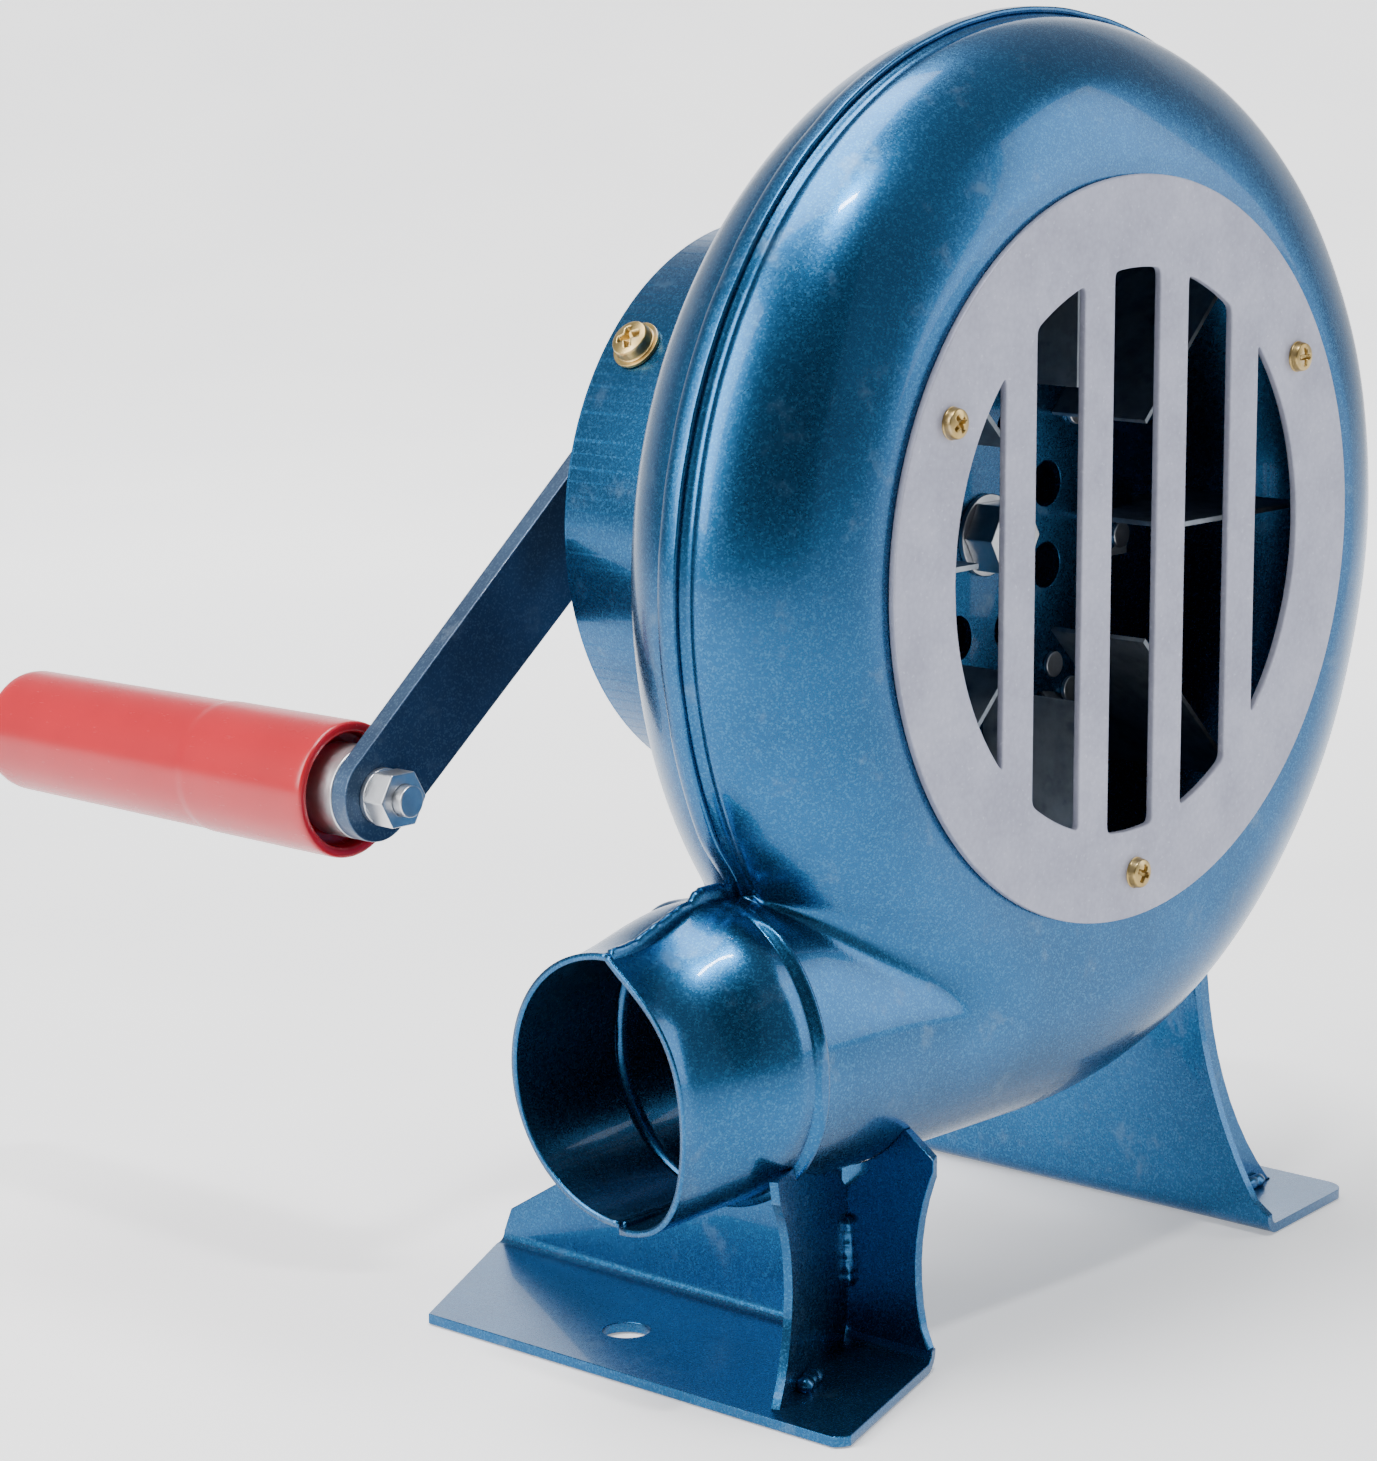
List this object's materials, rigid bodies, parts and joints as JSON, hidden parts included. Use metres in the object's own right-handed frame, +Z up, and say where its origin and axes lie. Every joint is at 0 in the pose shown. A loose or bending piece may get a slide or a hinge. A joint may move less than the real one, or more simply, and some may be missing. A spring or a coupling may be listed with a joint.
{
  "type": "hand-cranked centrifugal blower",
  "caption": "Hand-cranked centrifugal forge blower: pressed scroll casing with an intake grille and round outlet, rear gear case, crank arm with a turning grip, on two folded feet.",
  "frame": {"origin": "midway between the two foot bolt holes, on the plane the feet rest on", "axes": "+Z up; +Y along the fan axis from the intake grille towards the crank; the outlet pipe points to -X"},
  "size_m": [0.2155, 0.2129, 0.2452],
  "materials": {
    "blue_paint": "metallic gloss",
    "grille_silver": "satin silver",
    "yellow_zinc": "passivated zinc",
    "bright_zinc": "bright zinc plate",
    "bush_bronze": "oiled",
    "machined_steel": "machined",
    "galvanised_steel": "galvanised",
    "slate_paint": "metallic satin",
    "red_plastic": "gloss"
  },
  "bodies": {
    "housing": {"front_shell": "blue_paint", "rear_shell": "blue_paint", "seam_flange": "blue_paint", "intake_grille": "grille_silver", "grille_screws": "yellow_zinc", "left_foot": "blue_paint", "left_gusset": "blue_paint", "right_foot": "blue_paint", "right_gusset": "blue_paint", "foot_welds": "blue_paint", "gear_case": "blue_paint", "case_rivets": "bright_zinc", "gear_cover": "blue_paint", "cover_screws": "yellow_zinc", "cover_washers": "yellow_zinc", "fan_front_bush": "bush_bronze", "fan_rear_bush": "bush_bronze", "crank_front_bush": "bush_bronze", "crank_rear_bush": "bush_bronze", "idler_shaft": "machined_steel"},
    "fan": {"impeller_plate": "blue_paint", "impeller_blades": "galvanised_steel", "impeller_rivets": "bright_zinc", "impeller_hub": "machined_steel", "impeller_nut": "bright_zinc", "impeller_washer": "bright_zinc", "fan_shaft": "machined_steel", "fan_pinion": "machined_steel"},
    "idler": {"idler_wheel": "machined_steel", "idler_pinion": "machined_steel"},
    "crank": {"crank_shaft": "machined_steel", "crank_gear": "machined_steel", "crank_collar": "machined_steel", "crank_arm": "slate_paint", "crank_washer": "bright_zinc", "crank_nut": "bright_zinc", "grip_bolt": "bright_zinc", "grip_sleeve": "bright_zinc", "grip_washer": "bright_zinc", "grip_nut": "bright_zinc", "grip_lock_washer": "bright_zinc"},
    "grip": {"grip": "red_plastic"}
  },
  "joints": [
    {"name": "crank_turn", "type": "hinge", "parent": "housing", "child": "crank", "pos_m": [-0.01292, 0.033, 0.169], "axis": [0, 1, 0], "continuous": true},
    {"name": "idler_turn", "type": "hinge", "parent": "housing", "child": "idler", "pos_m": [-0.0226, 0.018, 0.1406], "axis": [0, 1, 0], "continuous": true},
    {"name": "fan_turn", "type": "hinge", "parent": "housing", "child": "fan", "pos_m": [0.00708, 0.003, 0.145], "axis": [0, 1, 0], "continuous": true},
    {"name": "grip_spin", "type": "hinge", "parent": "crank", "child": "grip", "pos_m": [-0.0951, 0.093, 0.10126], "axis": [0, 1, 0], "continuous": true}
  ],
  "couplings": [
    {"joint": "idler_turn", "follows": "crank_turn", "ratio": -4},
    {"joint": "fan_turn", "follows": "crank_turn", "ratio": 16}
  ]
}
